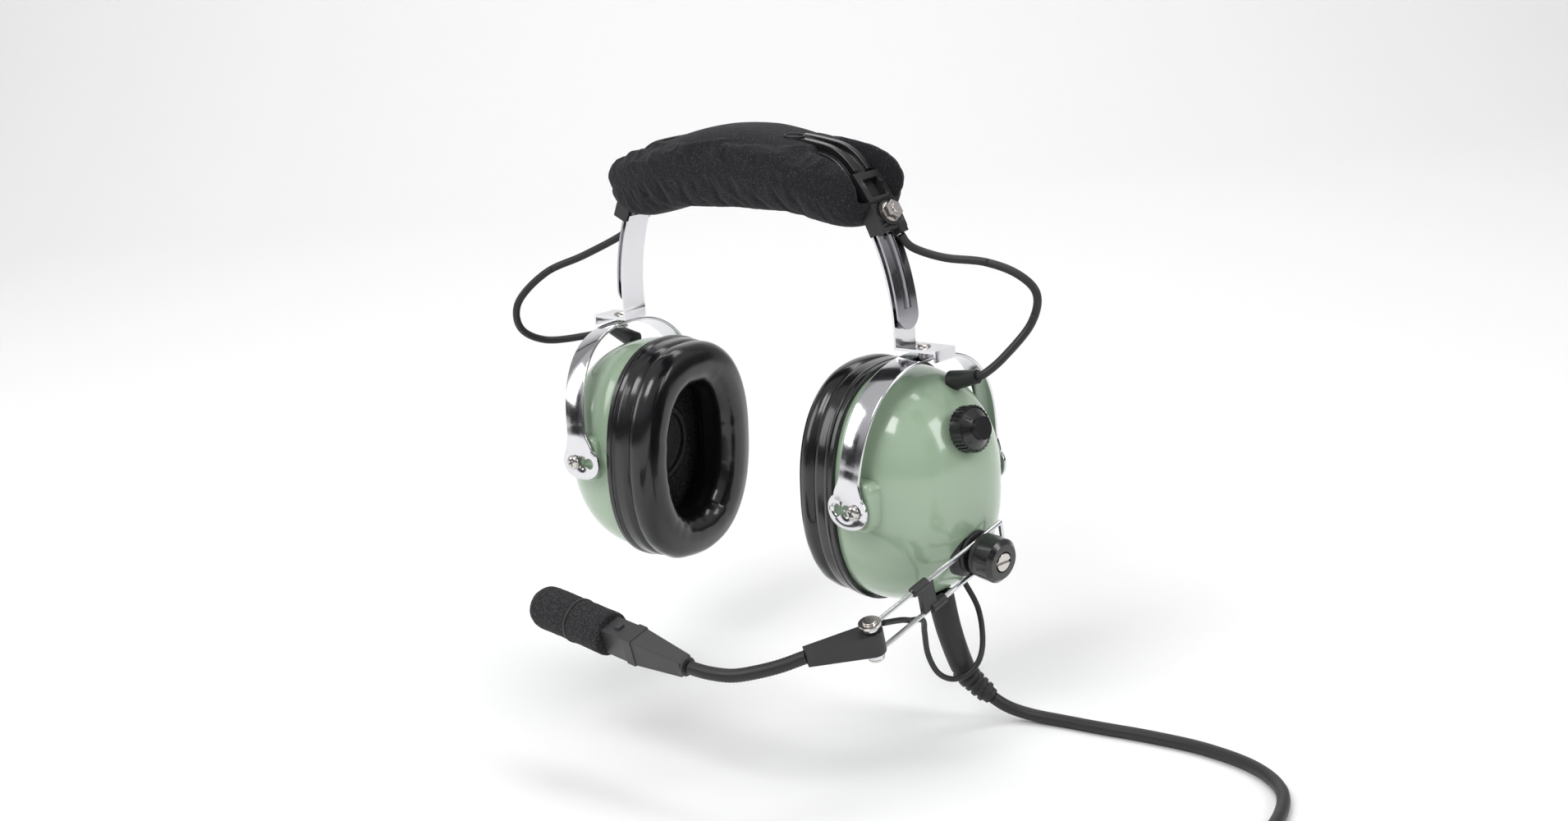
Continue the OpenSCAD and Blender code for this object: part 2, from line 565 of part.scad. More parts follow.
coil_at = [290, -50, floor_z];
coil_mid_r = 30;
coil_w = 3 * main_d;
coil_h = 2 * main_d;
main_points = [relief_end, [108, 17, -97.5], [117, 21, -100.5], [130, 24, lie_z], [148, 26, lie_z],
    [170, 29, lie_z], [195, 30, lie_z], [220, 25, lie_z], [240, 13, lie_z], [252, -4, lie_z],
    [257, -24, lie_z], [coil_at[0] - coil_mid_r - 2, coil_at[1] + 6, lie_z]];
module main_cord() color([0.05, 0.05, 0.05]) cord_tube(main_points, main_d, [0, 0, 1], 10, 2);
module main_coil() color([0.05, 0.05, 0.05]) translate(coil_at) rotate_extrude($fn = 72)
    translate([coil_mid_r - coil_w / 2, 0]) square([coil_w, coil_h]);
module coil_tie() color([0.1, 0.1, 0.1]) translate(coil_at + [coil_mid_r, 0, 0]) difference() {
    translate([-coil_w / 2 - 1.4, -4, 0]) cube([coil_w + 2.8, 8, coil_h + 1.2]);
    translate([-coil_w / 2 - 0.3, -5, -1]) cube([coil_w + 0.6, 10, coil_h + 1.3]);
}

// Moulded fork where the main cord becomes two leads, beside the coil
fork_at = [300, -92, floor_z + 4];
module cord_fork() color([0.05, 0.05, 0.05]) translate(fork_at) difference() {
    union() {
        rod_x(3.4, -12, -5);
        translate([0, 0, -3.5]) linear_extrude(7)
            polygon([[-6, -3.6], [-3, -4.2], [10, -6.4], [10, 6.4], [-3, 4.2], [-6, 3.6]]);
    }
    rod_x(main_d / 2, -13, -8);
}
plug_gap = 15;
plug_x = 348;
function tail_points(s) = [[10.1, s * 3, 0], [15, s * 3, -0.5], [24, s * 5, -2], [33, s * 7, -1.5],
    [42, s * plug_gap / 2, 1], [47.9, s * plug_gap / 2, 1.2]];
module lead_tail(s) color([0.05, 0.05, 0.05]) translate(fork_at)
    cord_tube(tail_points(s), tail_d, [0, 0, 1], 8, 2);
phones_r = 3.175;
mic_r = 2.615;
grip_len = 34;
module at_plug(s) translate([plug_x, fork_at[1] + s * plug_gap / 2, floor_z + 5.2]) children();
module plug_grip(s) color([0.05, 0.05, 0.05]) at_plug(s) difference() {
    union() {
        translate([0, 0, 0]) rotate([0, 90, 0]) cylinder(r1 = 3, r2 = 4.2, h = 9);
        rod_x(5.1, 8.95, grip_len);
    }
    rod_x(2, grip_len - 6, grip_len + 1);
}
// Shank of the plug: barrel, insulating ring, tip
module plug_shank(s, r, len) color([0.8, 0.72, 0.5]) at_plug(s) {
    rod_x(2, grip_len - 5.8, grip_len + 0.1);
    rod_x(r, grip_len + 0.05, grip_len + len - 9);
    rod_x(r - 0.25, grip_len + len - 9.05, grip_len + len - 7.4);
    translate([grip_len + len - 7.45, 0, 0]) rotate([0, 90, 0]) cylinder(r1 = r, r2 = r - 1, h = 2.4);
    translate([grip_len + len - 5.1, 0, 0]) rotate([0, 90, 0]) cylinder(r1 = r - 1, r2 = r - 0.2, h = 2);
    translate([grip_len + len - 3.15, 0, 0]) rotate([0, 90, 0]) cylinder(r1 = r - 0.2, r2 = 0.8, h = 3.1);
}

right_loop = [[77.5, 4.5, 103], [80.5, 7.5, 97.5], [92, 13, 93], [108, 19, 91], [121, 23, 86], [128, 25, 78],
    [125, 24, 66], [118, 14.5, 54], [112.5, 8.5, 48], [110, 8, 47]];
left_loop = [[-77.5, 4.5, 103], [-84, 2, 96], [-101, -8, 87], [-116, -19, 80], [-128, -27, 67],
    [-131, -25, 54], [-127, -14, 46.5], [-115, 0, 46.5], [-107.5, 7, 48.5], [-105, 7.5, 49.5]];
module crossover_right() color([0.05, 0.05, 0.05]) cord_tube(right_loop, cross_d, [0, 1, 0], 8, 2);
module crossover_left() color([0.05, 0.05, 0.05]) cord_tube(left_loop, cross_d, [0.3, 1, 0], 8, 2);
mic_loop = [[93, 12, -45], [97, 15, -55], [101, 12, -66], [103.5, 6, -73.5], [101, 0.5, -79], [97, -5, -80],
    [95.5, -12, -75], [96, -18, -65], [100, -24, -53], [104.5, -30, -45], [105, -38, -42.5],
    [107, -46, -39.5], [107.5, -55, -37]];
module mic_lead() color([0.05, 0.05, 0.05]) cord_tube(mic_loop, lead_d, [1, 0, 0], 8, 1);

headband_spring();
head_pad();
cord_channel();
end_bracket(LEFT);  // end_bracket_left
end_bracket(RIGHT);  // end_bracket_right
clamp_bolts();
clamp_nuts();
crossover_left();
crossover_right();
inner_strap(LEFT);  // inner_strap_left
slotted_strap(LEFT);  // slotted_strap_left
foot_rivet(LEFT);  // foot_rivet_left
inner_strap(RIGHT);  // inner_strap_right
slotted_strap(RIGHT);  // slotted_strap_right
foot_rivet(RIGHT);  // foot_rivet_right
yoke(LEFT);  // yoke_left
yoke(RIGHT);  // yoke_right
dome(LEFT);  // dome_left
seal_plate(LEFT);  // seal_plate_left
ear_seal(LEFT);  // ear_seal_left
speaker(LEFT);  // speaker_left
foam_liner(LEFT);  // foam_liner_left
pivot_screws(LEFT);  // pivot_screws_left
cord_relief(LEFT);  // cord_relief_left
dome(RIGHT);  // dome_right
seal_plate(RIGHT);  // seal_plate_right
ear_seal(RIGHT);  // ear_seal_right
speaker(RIGHT);  // speaker_right
foam_liner(RIGHT);  // foam_liner_right
pivot_screws(RIGHT);  // pivot_screws_right
cord_relief(RIGHT);  // cord_relief_right
volume_pot();
volume_knob();
boom_base();
boom_stud();
boom_swivel();
boom_wires();
lead_clip();
boom_knob();
boom_screw();
bracket_bolt();
mic_bracket();
gooseneck();
mic_housing();
mic_capsule();
foam_muff();
muff_ring();
main_relief();
main_cord();
main_coil();
coil_tie();
cord_fork();
lead_tail(RIGHT);  // phones_tail
lead_tail(LEFT);  // mic_tail
plug_grip(RIGHT);  // phones_plug_grip
plug_shank(RIGHT, phones_r, 30);  // phones_plug_shank
plug_grip(LEFT);  // mic_plug_grip
plug_shank(LEFT, mic_r, 30);  // mic_plug_shank
mic_lead();
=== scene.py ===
import json
import math

import bmesh
import bpy
import numpy as np
from mathutils import Matrix, Vector, noise

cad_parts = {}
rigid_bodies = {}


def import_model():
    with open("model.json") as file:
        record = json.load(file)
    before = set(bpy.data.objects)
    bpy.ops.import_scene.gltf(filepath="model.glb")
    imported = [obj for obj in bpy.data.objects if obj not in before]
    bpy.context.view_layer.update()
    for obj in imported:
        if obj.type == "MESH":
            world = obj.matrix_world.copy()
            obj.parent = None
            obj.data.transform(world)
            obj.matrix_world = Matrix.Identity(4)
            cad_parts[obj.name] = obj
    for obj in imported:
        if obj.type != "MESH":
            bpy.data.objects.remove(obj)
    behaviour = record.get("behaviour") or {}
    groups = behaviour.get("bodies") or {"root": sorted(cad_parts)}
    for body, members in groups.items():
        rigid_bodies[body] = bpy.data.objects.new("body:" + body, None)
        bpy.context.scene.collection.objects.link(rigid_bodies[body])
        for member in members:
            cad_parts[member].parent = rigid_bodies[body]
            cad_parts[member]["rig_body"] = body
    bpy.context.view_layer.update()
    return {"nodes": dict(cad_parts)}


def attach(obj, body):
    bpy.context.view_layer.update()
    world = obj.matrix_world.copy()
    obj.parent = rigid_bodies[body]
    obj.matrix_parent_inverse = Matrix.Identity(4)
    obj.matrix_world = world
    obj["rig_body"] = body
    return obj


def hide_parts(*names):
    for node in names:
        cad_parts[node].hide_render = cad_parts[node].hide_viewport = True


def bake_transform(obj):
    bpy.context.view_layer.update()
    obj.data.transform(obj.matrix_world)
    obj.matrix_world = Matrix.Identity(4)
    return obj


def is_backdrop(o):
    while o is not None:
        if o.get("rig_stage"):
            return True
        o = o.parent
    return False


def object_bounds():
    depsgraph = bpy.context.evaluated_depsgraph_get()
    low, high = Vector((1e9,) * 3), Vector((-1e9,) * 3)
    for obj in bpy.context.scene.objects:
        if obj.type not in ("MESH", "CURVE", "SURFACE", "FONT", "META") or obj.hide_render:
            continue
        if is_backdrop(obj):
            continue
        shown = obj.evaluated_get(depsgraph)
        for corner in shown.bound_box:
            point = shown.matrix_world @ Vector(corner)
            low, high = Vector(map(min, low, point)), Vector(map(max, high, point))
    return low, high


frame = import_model()
MM = 0.001
rng = np.random.default_rng(7)

# ------------------------------------------------------------------ camera
camera = bpy.data.objects.new("Camera", bpy.data.cameras.new("Camera"))
bpy.context.scene.collection.objects.link(camera)
camera.data.sensor_width = 36.0
camera.data.lens = 47.68
camera.data.clip_start = 0.02
right, up, back = (0.73466, 0.67390, -0.07836), (-0.10469, 0.22673, 0.96831), (0.67031, -0.70318, 0.23712)
place = (0.60924, -0.62947, 0.23606)
camera.matrix_world = Matrix([[right[i], up[i], back[i], place[i]] for i in range(3)] + [[0, 0, 0, 1]])
bpy.context.scene.camera = camera


# ------------------------------------------------------------------ placing, in millimetres
def rot(axis, degrees):
    return np.array(Matrix.Rotation(math.radians(degrees), 3, axis))


TOE = {"right": 3.0, "left": 5.0}
TILT = {"right": -3.0, "left": 4.0}
CUP_X, RIVET_X = 86.0, 89.0
BEND_X, BEND_Z = -11.0, 66.0
YOKE_Z, YOKE_HALF, YOKE_T, YOKE_LEAN = 56.4, 43.2, 1.3, 7.0
STRAP_R, STRAP_T = 90.6, 1.0
SLOT_R = STRAP_R + STRAP_T + 1.6
SPRING_R = SLOT_R + STRAP_T / 2 + 0.35 + 0.4
BOLT_A, SIDE_A, CORNER_R, TOP = 28.3, 43.0, 20.0, 141.0


def at_cup(side, points):
    p = np.asarray(points, float) @ rot("Y", -TILT[side]).T + [CUP_X - RIVET_X, 0, 0]
    p = p @ rot("Z", -TOE[side]).T + [RIVET_X, 0, 0]
    return p if side == "right" else p * [-1, 1, 1]


def at_boom(points):
    return at_cup("right", np.asarray(points, float) @ rot("Y", 5).T + [21, 0, -22])


def at_wires(points):
    return at_boom(np.asarray(points, float) @ rot("X", 16.5).T + [7, 0, 0])


def at_arm(points):
    return at_wires(np.asarray(points, float) @ rot("Z", -31).T + [0, -64.9, 0])


GOOSE = np.array([[0, 0, 2], [-0.5, -10, 1], [-2, -19.5, 0.5], [-5, -28.5, 0], [-9.5, -36.5, 1],
                  [-16, -43, 1.5]])


def at_mic(points):
    p = np.asarray(points, float) @ rot("Z", -56).T + GOOSE[-1]
    return at_arm(p + [0, -27, 0])


# ------------------------------------------------------------------ materials
def material(name, base, rough=0.5, metal=0.0, coat=0.0, sheen=0.0, specular=0.5):
    m = bpy.data.materials.new(name)
    m.use_nodes = True
    s = m.node_tree.nodes["Principled BSDF"]
    s.inputs["Base Color"].default_value = (*base, 1)
    s.inputs["Roughness"].default_value = rough
    s.inputs["Metallic"].default_value = metal
    s.inputs["Coat Weight"].default_value = coat
    s.inputs["Coat Roughness"].default_value = 0.05
    s.inputs["Sheen Weight"].default_value = sheen
    s.inputs["Specular IOR Level"].default_value = specular
    return m


def node(m, kind, **values):
    n = m.node_tree.nodes.new(kind)
    for key, value in values.items():
        if key in n.inputs:
            n.inputs[key].default_value = value
        else:
            setattr(n, key, value)
    return n


def link(m, a, out, b, into):
    m.node_tree.links.new(a.outputs[out], b.inputs[into])


def shader(m):
    return m.node_tree.nodes["Principled BSDF"]


def coordinates(m, stretch=None):
    c = node(m, "ShaderNodeTexCoord")
    if stretch is None:
        return c, "Object"
    mapping = node(m, "ShaderNodeMapping")
    mapping.inputs["Scale"].default_value = stretch
    link(m, c, "Object", mapping, "Vector")
    return mapping, "Vector"


def grain(m, scale, strength, distance, detail=3.0, stretch=None, kind="noise", chain=None):
    """Fine relief in the finish. Returns the bump node, so that another can follow it."""
    c, out = coordinates(m, stretch)
    if kind == "noise":
        t = node(m, "ShaderNodeTexNoise", Scale=scale, Detail=detail)
        value = "Fac"
    else:
        t = node(m, "ShaderNodeTexVoronoi", Scale=scale)
        value = "Distance"
    link(m, c, out, t, "Vector")
    b = node(m, "ShaderNodeBump", Strength=strength, Distance=distance)
    link(m, t, value, b, "Height")
    if chain is not None:
        link(m, chain, "Normal", b, "Normal")
    link(m, b, "Normal", shader(m), "Normal")
    return b


def mottle(m, scale, low, high, into="Roughness", detail=4.0):
    """Uneven roughness, as handled surfaces have."""
    c, out = coordinates(m)
    t = node(m, "ShaderNodeTexNoise", Scale=scale, Detail=detail)
    link(m, c, out, t, "Vector")
    r = node(m, "ShaderNodeMapRange")
    r.inputs["To Min"].default_value = low
    r.inputs["To Max"].default_value = high
    link(m, t, "Fac", r, "Value")
    link(m, r, "Result", shader(m), into)


def flecks(m, scale, dark, pale, low, high, detail=2.0):
    c, out = coordinates(m)
    t = node(m, "ShaderNodeTexNoise", Scale=scale, Detail=detail)
    link(m, c, out, t, "Vector")
    ramp = node(m, "ShaderNodeValToRGB")
    ramp.color_ramp.elements[0].position = low
    ramp.color_ramp.elements[0].color = (*dark, 1)
    ramp.color_ramp.elements[1].position = high
    ramp.color_ramp.elements[1].color = (*pale, 1)
    link(m, t, "Fac", ramp, "Fac")
    link(m, ramp, "Color", shader(m), "Base Color")


KNIT = material("pad_knit", (0.02, 0.02, 0.022), 0.95, sheen=0.06, specular=0.25)
flecks(KNIT, 1500, (0.013, 0.013, 0.015), (0.10, 0.10, 0.115), 0.58, 0.86)
first = grain(KNIT, 1100, 0.5, 0.0004, kind="cells")
grain(KNIT, 260, 0.25, 0.0005, chain=first)

CHROME = material("chrome", (0.72, 0.72, 0.74), 0.09, 1.0)
mottle(CHROME, 420, 0.07, 0.17)
grain(CHROME, 900, 0.05, 0.0002)

# a dimmer copy of the chrome for the slotted straps: its darker base colour is a painted dark reflection
CHROME_PAINTED_DARK_REFLECTION = material("strap_chrome_painted_dark_reflection", (0.42, 0.42, 0.44), 0.10, 1.0)
mottle(CHROME_PAINTED_DARK_REFLECTION, 300, 0.07, 0.2)
grain(CHROME_PAINTED_DARK_REFLECTION, 700, 0.05, 0.0002)

SPRING = material("spring_steel", (0.5, 0.5, 0.52), 0.3, 1.0)
mottle(SPRING, 300, 0.24, 0.4)
grain(SPRING, 60, 0.1, 0.0001, stretch=(1, 30, 1))

HARDWARE = material("bright_hardware", (0.62, 0.59, 0.56), 0.14, 1.0)
mottle(HARDWARE, 500, 0.1, 0.24)
grain(HARDWARE, 800, 0.06, 0.0002)

SAGE = material("sage_shell", (0.335, 0.45, 0.32), 0.16, coat=0.6)
flecks(SAGE, 26, (0.325, 0.437, 0.31), (0.35, 0.468, 0.335), 0.3, 0.7)
mottle(SAGE, 90, 0.13, 0.2)
grain(SAGE, 55, 0.06, 0.0006)

VINYL = material("black_vinyl", (0.007, 0.007, 0.008), 0.2, coat=0.3)
mottle(VINYL, 90, 0.15, 0.25)
first = grain(VINYL, 900, 0.05, 0.0002, kind="cells")
grain(VINYL, 110, 0.10, 0.0004, chain=first)

PLASTIC = material("black_plastic", (0.018, 0.018, 0.019), 0.42)
mottle(PLASTIC, 260, 0.34, 0.5)
grain(PLASTIC, 1300, 0.12, 0.0002)

GLOSS = material("gloss_black", (0.012, 0.012, 0.013), 0.2, coat=0.3)
mottle(GLOSS, 200, 0.15, 0.28)
grain(GLOSS, 700, 0.04, 0.0002)

RUBBER = material("cord_jacket", (0.016, 0.016, 0.017), 0.48)
mottle(RUBBER, 200, 0.4, 0.58)
grain(RUBBER, 700, 0.15, 0.0002)

FOAM = material("foam_black", (0.022, 0.022, 0.024), 0.95)
flecks(FOAM, 1400, (0.012, 0.012, 0.013), (0.055, 0.055, 0.06), 0.45, 0.7)
grain(FOAM, 1200, 0.9, 0.0006, kind="cells")

# the grey liner foam, darkened to near black: painted shade inside the cup
LINER_PAINTED_SHADE = material("grey_foam", (0.02, 0.02, 0.021), 0.95, specular=0.2)
flecks(LINER_PAINTED_SHADE, 900, (0.012, 0.012, 0.013), (0.035, 0.035, 0.037), 0.4, 0.7)
grain(LINER_PAINTED_SHADE, 800, 0.8, 0.0007, kind="cells")

SPEAKER = material("speaker_grey", (0.02, 0.02, 0.021), 0.5)
mottle(SPEAKER, 200, 0.42, 0.6)
grain(SPEAKER, 700, 0.5, 0.0005, kind="cells")

MIC = material("mic_grey", (0.035, 0.035, 0.037), 0.45)
mottle(MIC, 240, 0.38, 0.55)
grain(MIC, 1000, 0.15, 0.0002)

BRASS = material("plug_brass", (0.80, 0.62, 0.30), 0.18, 1.0)
mottle(BRASS, 300, 0.14, 0.28)
grain(BRASS, 600, 0.05, 0.0002)


# ------------------------------------------------------------------ meshes
def piece(name, points_mm, faces, mat, body, replaces=(), slot=None, smooth=True, sharp=None, flip=False):
    mesh = bpy.data.meshes.new(name)
    if flip:
        faces = [tuple(reversed(f)) for f in faces]
    mesh.from_pydata([tuple(float(x) * MM for x in p) for p in points_mm], [], [tuple(f) for f in faces])
    mesh.update()
    o = bpy.data.objects.new(name, mesh)
    bpy.context.scene.collection.objects.link(o)
    mesh.materials.append(mat)
    if smooth:
        mesh.polygons.foreach_set("use_smooth", [True] * len(mesh.polygons))
    if sharp is not None:
        mesh.set_sharp_from_angle(angle=math.radians(sharp))
    if body is not None:
        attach(o, body)
    if replaces:
        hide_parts(*replaces)
    return o


def skin(rings, closed=False, caps=True):
    """Points and faces over rings of equal count."""
    rings = [np.asarray(r, float) for r in rings]
    k, m = len(rings[0]), len(rings)
    points = np.concatenate(rings)
    faces = []
    for i in range(m if closed else m - 1):
        j = (i + 1) % m
        for a in range(k):
            b = (a + 1) % k
            faces.append((i * k + a, i * k + b, j * k + b, j * k + a))
    if caps and not closed:
        faces.append(tuple(range(k - 1, -1, -1)))
        faces.append(tuple((m - 1) * k + a for a in range(k)))
    return points, faces


def outward(o):
    """Turns every face outwards."""
    bm = bmesh.new()
    bm.from_mesh(o.data)
    bmesh.ops.recalc_face_normals(bm, faces=bm.faces)
    bm.to_mesh(o.data)
    bm.free()
    return o


def catmull(points, sub, closed=False):
    p = np.asarray(points, float)
    n = len(p)
    out = []
    for i in range(n if closed else n - 1):
        if closed:
            a, b, c, d = p[i - 1], p[i], p[(i + 1) % n], p[(i + 2) % n]
        else:
            a, b, c, d = p[max(i - 1, 0)], p[i], p[i + 1], p[min(i + 2, n - 1)]
        for s in range(sub):
            t = s / sub
            square = 2 * a - 5 * b + 4 * c - d
            cube = 3 * b - a - 3 * c + d
            out.append(0.5 * (2 * b + t * (c - a) + t * t * square + t**3 * cube))
    if not closed:
        out.append(p[-1])
    return np.array(out)


def even(line, step):
    line = np.asarray(line, float)
    along = np.concatenate([[0], np.cumsum(np.linalg.norm(np.diff(line, axis=0), axis=1))])
    at = np.linspace(0, along[-1], max(3, int(math.ceil(along[-1] / step)) + 1))
    return np.stack([np.interp(at, along, line[:, k]) for k in range(3)], axis=1)


def frames(line):
    """A frame that turns as little as it can along the line."""
    line = np.asarray(line, float)
    t = np.gradient(line, axis=0)
    t /= np.linalg.norm(t, axis=1)[:, None]
    u = np.cross(t[0], [0.13, 0.31, 0.94])
    us = [u / np.linalg.norm(u)]
    for i in range(1, len(line)):
        u = us[-1] - t[i] * np.dot(us[-1], t[i])
        us.append(u / np.linalg.norm(u))
    us = np.array(us)
    return t, us, np.cross(t, us)


def tube(name, line, radius, mat, body, sides=20, **more):
    """A round tube along a line; radius is one number, or one for each point."""
    line = np.asarray(line, float)
    t, u, v = frames(line)
    radius = np.full(len(line), radius, float) if np.isscalar(radius) else np.asarray(radius, float)
    a = np.linspace(0, 2 * math.pi, sides, endpoint=False)
    rings = []
    for i in range(len(line)):
        rings.append(line[i] + radius[i] * (np.cos(a)[:, None] * u[i] + np.sin(a)[:, None] * v[i]))
    points, faces = skin(rings)
    return outward(piece(name, points, faces, mat, body, **more))


def turned(radius, y, count):
    """A ring round the Y axis."""
    turns = np.linspace(0, 2 * math.pi, count, endpoint=False)
    return [(radius * math.cos(a), y, radius * math.sin(a)) for a in turns]


def refine(name, mat, bevel=0.25, segments=2, angle=32.0):
    """The CAD node's own shape with welded vertices, rounded edges and smooth curved faces."""
    source = frame["nodes"][name]
    mesh = source.data.copy()
    bm = bmesh.new()
    bm.from_mesh(mesh)
    bmesh.ops.remove_doubles(bm, verts=bm.verts, dist=2e-6)
    bmesh.ops.dissolve_limit(bm, angle_limit=math.radians(0.6), verts=bm.verts, edges=bm.edges)
    bm.to_mesh(mesh)
    bm.free()
    o = bpy.data.objects.new(name + "_v", mesh)
    bpy.context.scene.collection.objects.link(o)
    mesh.materials.clear()
    mesh.materials.append(mat)
    mesh.polygons.foreach_set("use_smooth", [True] * len(mesh.polygons))
    mesh.set_sharp_from_angle(angle=math.radians(angle))
    if bevel:
        b = o.modifiers.new("Bevel", "BEVEL")
        b.width = bevel * MM
        b.segments = segments
        b.limit_method = "ANGLE"
        b.angle_limit = math.radians(angle)
        b.harden_normals = True
    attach(o, source["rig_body"])
    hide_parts(name)
    return o


def at_yoke(side, points):
    p = np.asarray(points, float) + [CUP_X - 4 - RIVET_X, 0, 0]
    p = p @ rot("Z", -TOE[side]).T + [RIVET_X, 0, 0]
    return p if side == "right" else p * [-1, 1, 1]


def keyhole(turn):
    """The edge of the three-lobed hole in a yoke's end plate, at an angle round its middle lobe."""
    c, d = math.cos(turn), abs(math.sin(turn))
    reach = 2.5
    lobe_r = 2.05 if c > 0 else 2.5
    inside = lobe_r**2 - (4.4 * d) ** 2
    if inside > 0 and 4.4 * abs(c) - math.sqrt(inside) < 2.75:
        reach = 4.4 * abs(c) + math.sqrt(inside)
    return np.array([reach * c - 0.4, reach * math.sin(turn)])


# each ring of an end plate: how far it is drawn in from the plate's edge, and its place along the pivot
PLATE_EDGE = [(0, 42.25), (0, 42.95), (0.08, 43.14), (0.22, 43.2), ("rim", 43.2), ("hole", 43.05),
              ("hole", 42.05), ("rim", 41.9), (0.22, 41.9), (0.08, 41.96)]


def yoke_plate(side, end, s):
    k = 144
    turns = np.linspace(0, 2 * math.pi, k, endpoint=False)
    hole = np.array([keyhole(a) for a in turns])
    rings = []
    for edge, y in PLATE_EDGE:
        if edge == "rim":
            outwards = hole - [-0.4, 0]
            ring = hole + outwards / np.linalg.norm(outwards, axis=1)[:, None] * 0.18
        elif edge == "hole":
            ring = hole
        else:
            w, h = 21 - 2 * edge, 15.5 - 2 * edge
            c, d = np.cos(turns), np.sin(turns)
            r = (np.abs(c / (w / 2)) ** 2.2 + np.abs(d / (h / 2)) ** 2.2) ** (-1 / 2.2)
            ring = np.stack([r * c, r * d], axis=1)
        rings.append([(x, s * y, z) for x, z in ring])
    points, faces = skin(rings, closed=True)
    body = f"yoke_{side}"
    outward(piece(f"yoke_{side}_plate_{end}", at_yoke(side, points), faces, CHROME, body, (body,), sharp=40))


# radius and place along the pivot, from the shank's tip to the middle of the head
SCREW = [(1.3, 34.2), (1.4, 34.5), (1.4, 41.8), (2.0, 41.9), (2.0, 43.4), (3.2, 43.45), (3.3, 43.6),
         (3.25, 44.0), (2.9, 44.6), (2.3, 45.0), (1.4, 45.25), (0.5, 45.3)]


def pivot_screw(side, end, s):
    """A pan-headed screw with a cross recess, and its shank into the boss."""
    points, faces = skin([turned(r, s * y, 64) for r, y in SCREW])
    screw = piece(f"pivot_screw_{side}_{end}", at_cup(side, points), faces, HARDWARE, f"cup_{side}",
                  (f"pivot_screws_{side}",), sharp=50)
    outward(screw)
    for name, angle in (("a", 25), ("b", 115)):
        box = [(x, s * y, z) for x in (-1.5, 1.5) for y in (44.7, 45.36) for z in (-0.28, 0.28)]
        box = np.asarray(box) @ rot("Y", angle).T
        faces = [(0, 1, 3, 2), (4, 6, 7, 5), (0, 4, 5, 1), (2, 3, 7, 6), (0, 2, 6, 4), (1, 5, 7, 3)]
        outward(piece(f"screw_recess_{side}_{end}_{name}", at_cup(side, box), faces, GLOSS, f"cup_{side}",
                      (f"pivot_screws_{side}",), smooth=False))


# the strap's section: across its width, and through its thickness, with rounded corners
STRAP_SECTION = [(-1, 0.75), (-1, 0.25), (-0.96, 0.06), (-0.9, 0), (0, 0), (0.9, 0), (0.96, 0.06), (1, 0.25),
                 (1, 0.75), (0.96, 0.94), (0.9, 1), (0, 1), (-0.9, 1), (-0.96, 0.94)]


def yoke_strap(side):
    """The strap over the cup, bent in one smooth arch, with its necks widened into the end plates."""
    start = math.asin((3.4 / YOKE_Z) ** 1.25)
    rings = []
    for a in np.linspace(start, math.pi - start, 300):
        c, s = math.cos(a), math.sin(a)
        edge = np.array([math.copysign(abs(c) ** 0.8, c), abs(s) ** 0.8])
        out = edge * [YOKE_HALF, YOKE_Z]
        into = edge * [YOKE_HALF - YOKE_T, YOKE_Z - YOKE_T]
        flat = 1 - float(smoothstep(out[1], 9, 17))
        out[0] += (math.copysign(YOKE_HALF + 0.015, c) - out[0]) * flat
        into[0] += (math.copysign(YOKE_HALF - YOKE_T - 0.015, c) - into[0]) * flat
        half_w = 5.5 + 2.4 * (1 - float(smoothstep(out[1], 5, 13.5)))
        ring = []
        for x, f in STRAP_SECTION:
            y, z = out + (into - out) * f
            ring.append((x * half_w, y, z))
        rings.append(ring)
    points, faces = skin(rings)
    points = np.asarray(points) @ rot("Y", YOKE_LEAN).T
    body = f"yoke_{side}"
    outward(piece(f"yoke_{side}_strap", at_yoke(side, points), faces, CHROME, body, (body,), sharp=50))


def oval(w, h, n, k):
    a = np.linspace(0, 2 * math.pi, k, endpoint=False)
    c, s = np.cos(a), np.sin(a)
    across = w / 2 * np.sign(c) * np.abs(c) ** (2 / n)
    along = h / 2 * np.sign(s) * np.abs(s) ** (2 / n)
    return np.stack([across, along], axis=1)


def bumps(points, size, amount, seed=0.0):
    """Smooth unevenness along each point, one number each."""
    return np.array([amount * noise.noise(Vector(p) / size + Vector((seed, seed, seed))) for p in points])


def smoothstep(x, a, b):
    t = np.clip((np.asarray(x, float) - a) / (b - a), 0, 1)
    return t * t * (3 - 2 * t)


# ------------------------------------------------------------------ cords
FLOOR_Z = -104.0
MAIN_D = 5.2
LIE_Z = FLOOR_Z + MAIN_D / 2
COIL = np.array([290.0, -50.0, 0.0])


def coil_line():
    """Turns winding in on the floor, then winding out on top of them."""
    out = []
    turns = 5.1
    n = 420
    for i in range(n + 1):
        f = i / n * turns
        a = math.pi + 2 * math.pi * f
        inwards = min(f, 2.72)
        r = 35.2 - 5.2 * min(inwards, 2.0)
        climb = smoothstep(f, 2.35, 2.85)
        r_out = 24.8 + 5.2 * max(0.0, min(f - 3.2, 2.0))
        radius = r if f < 2.72 else r_out
        x = COIL[0] + radius * math.cos(a)
        y = COIL[1] + radius * math.sin(a)
        out.append([x, y, LIE_Z + MAIN_D * float(climb)])
    return np.array(out)


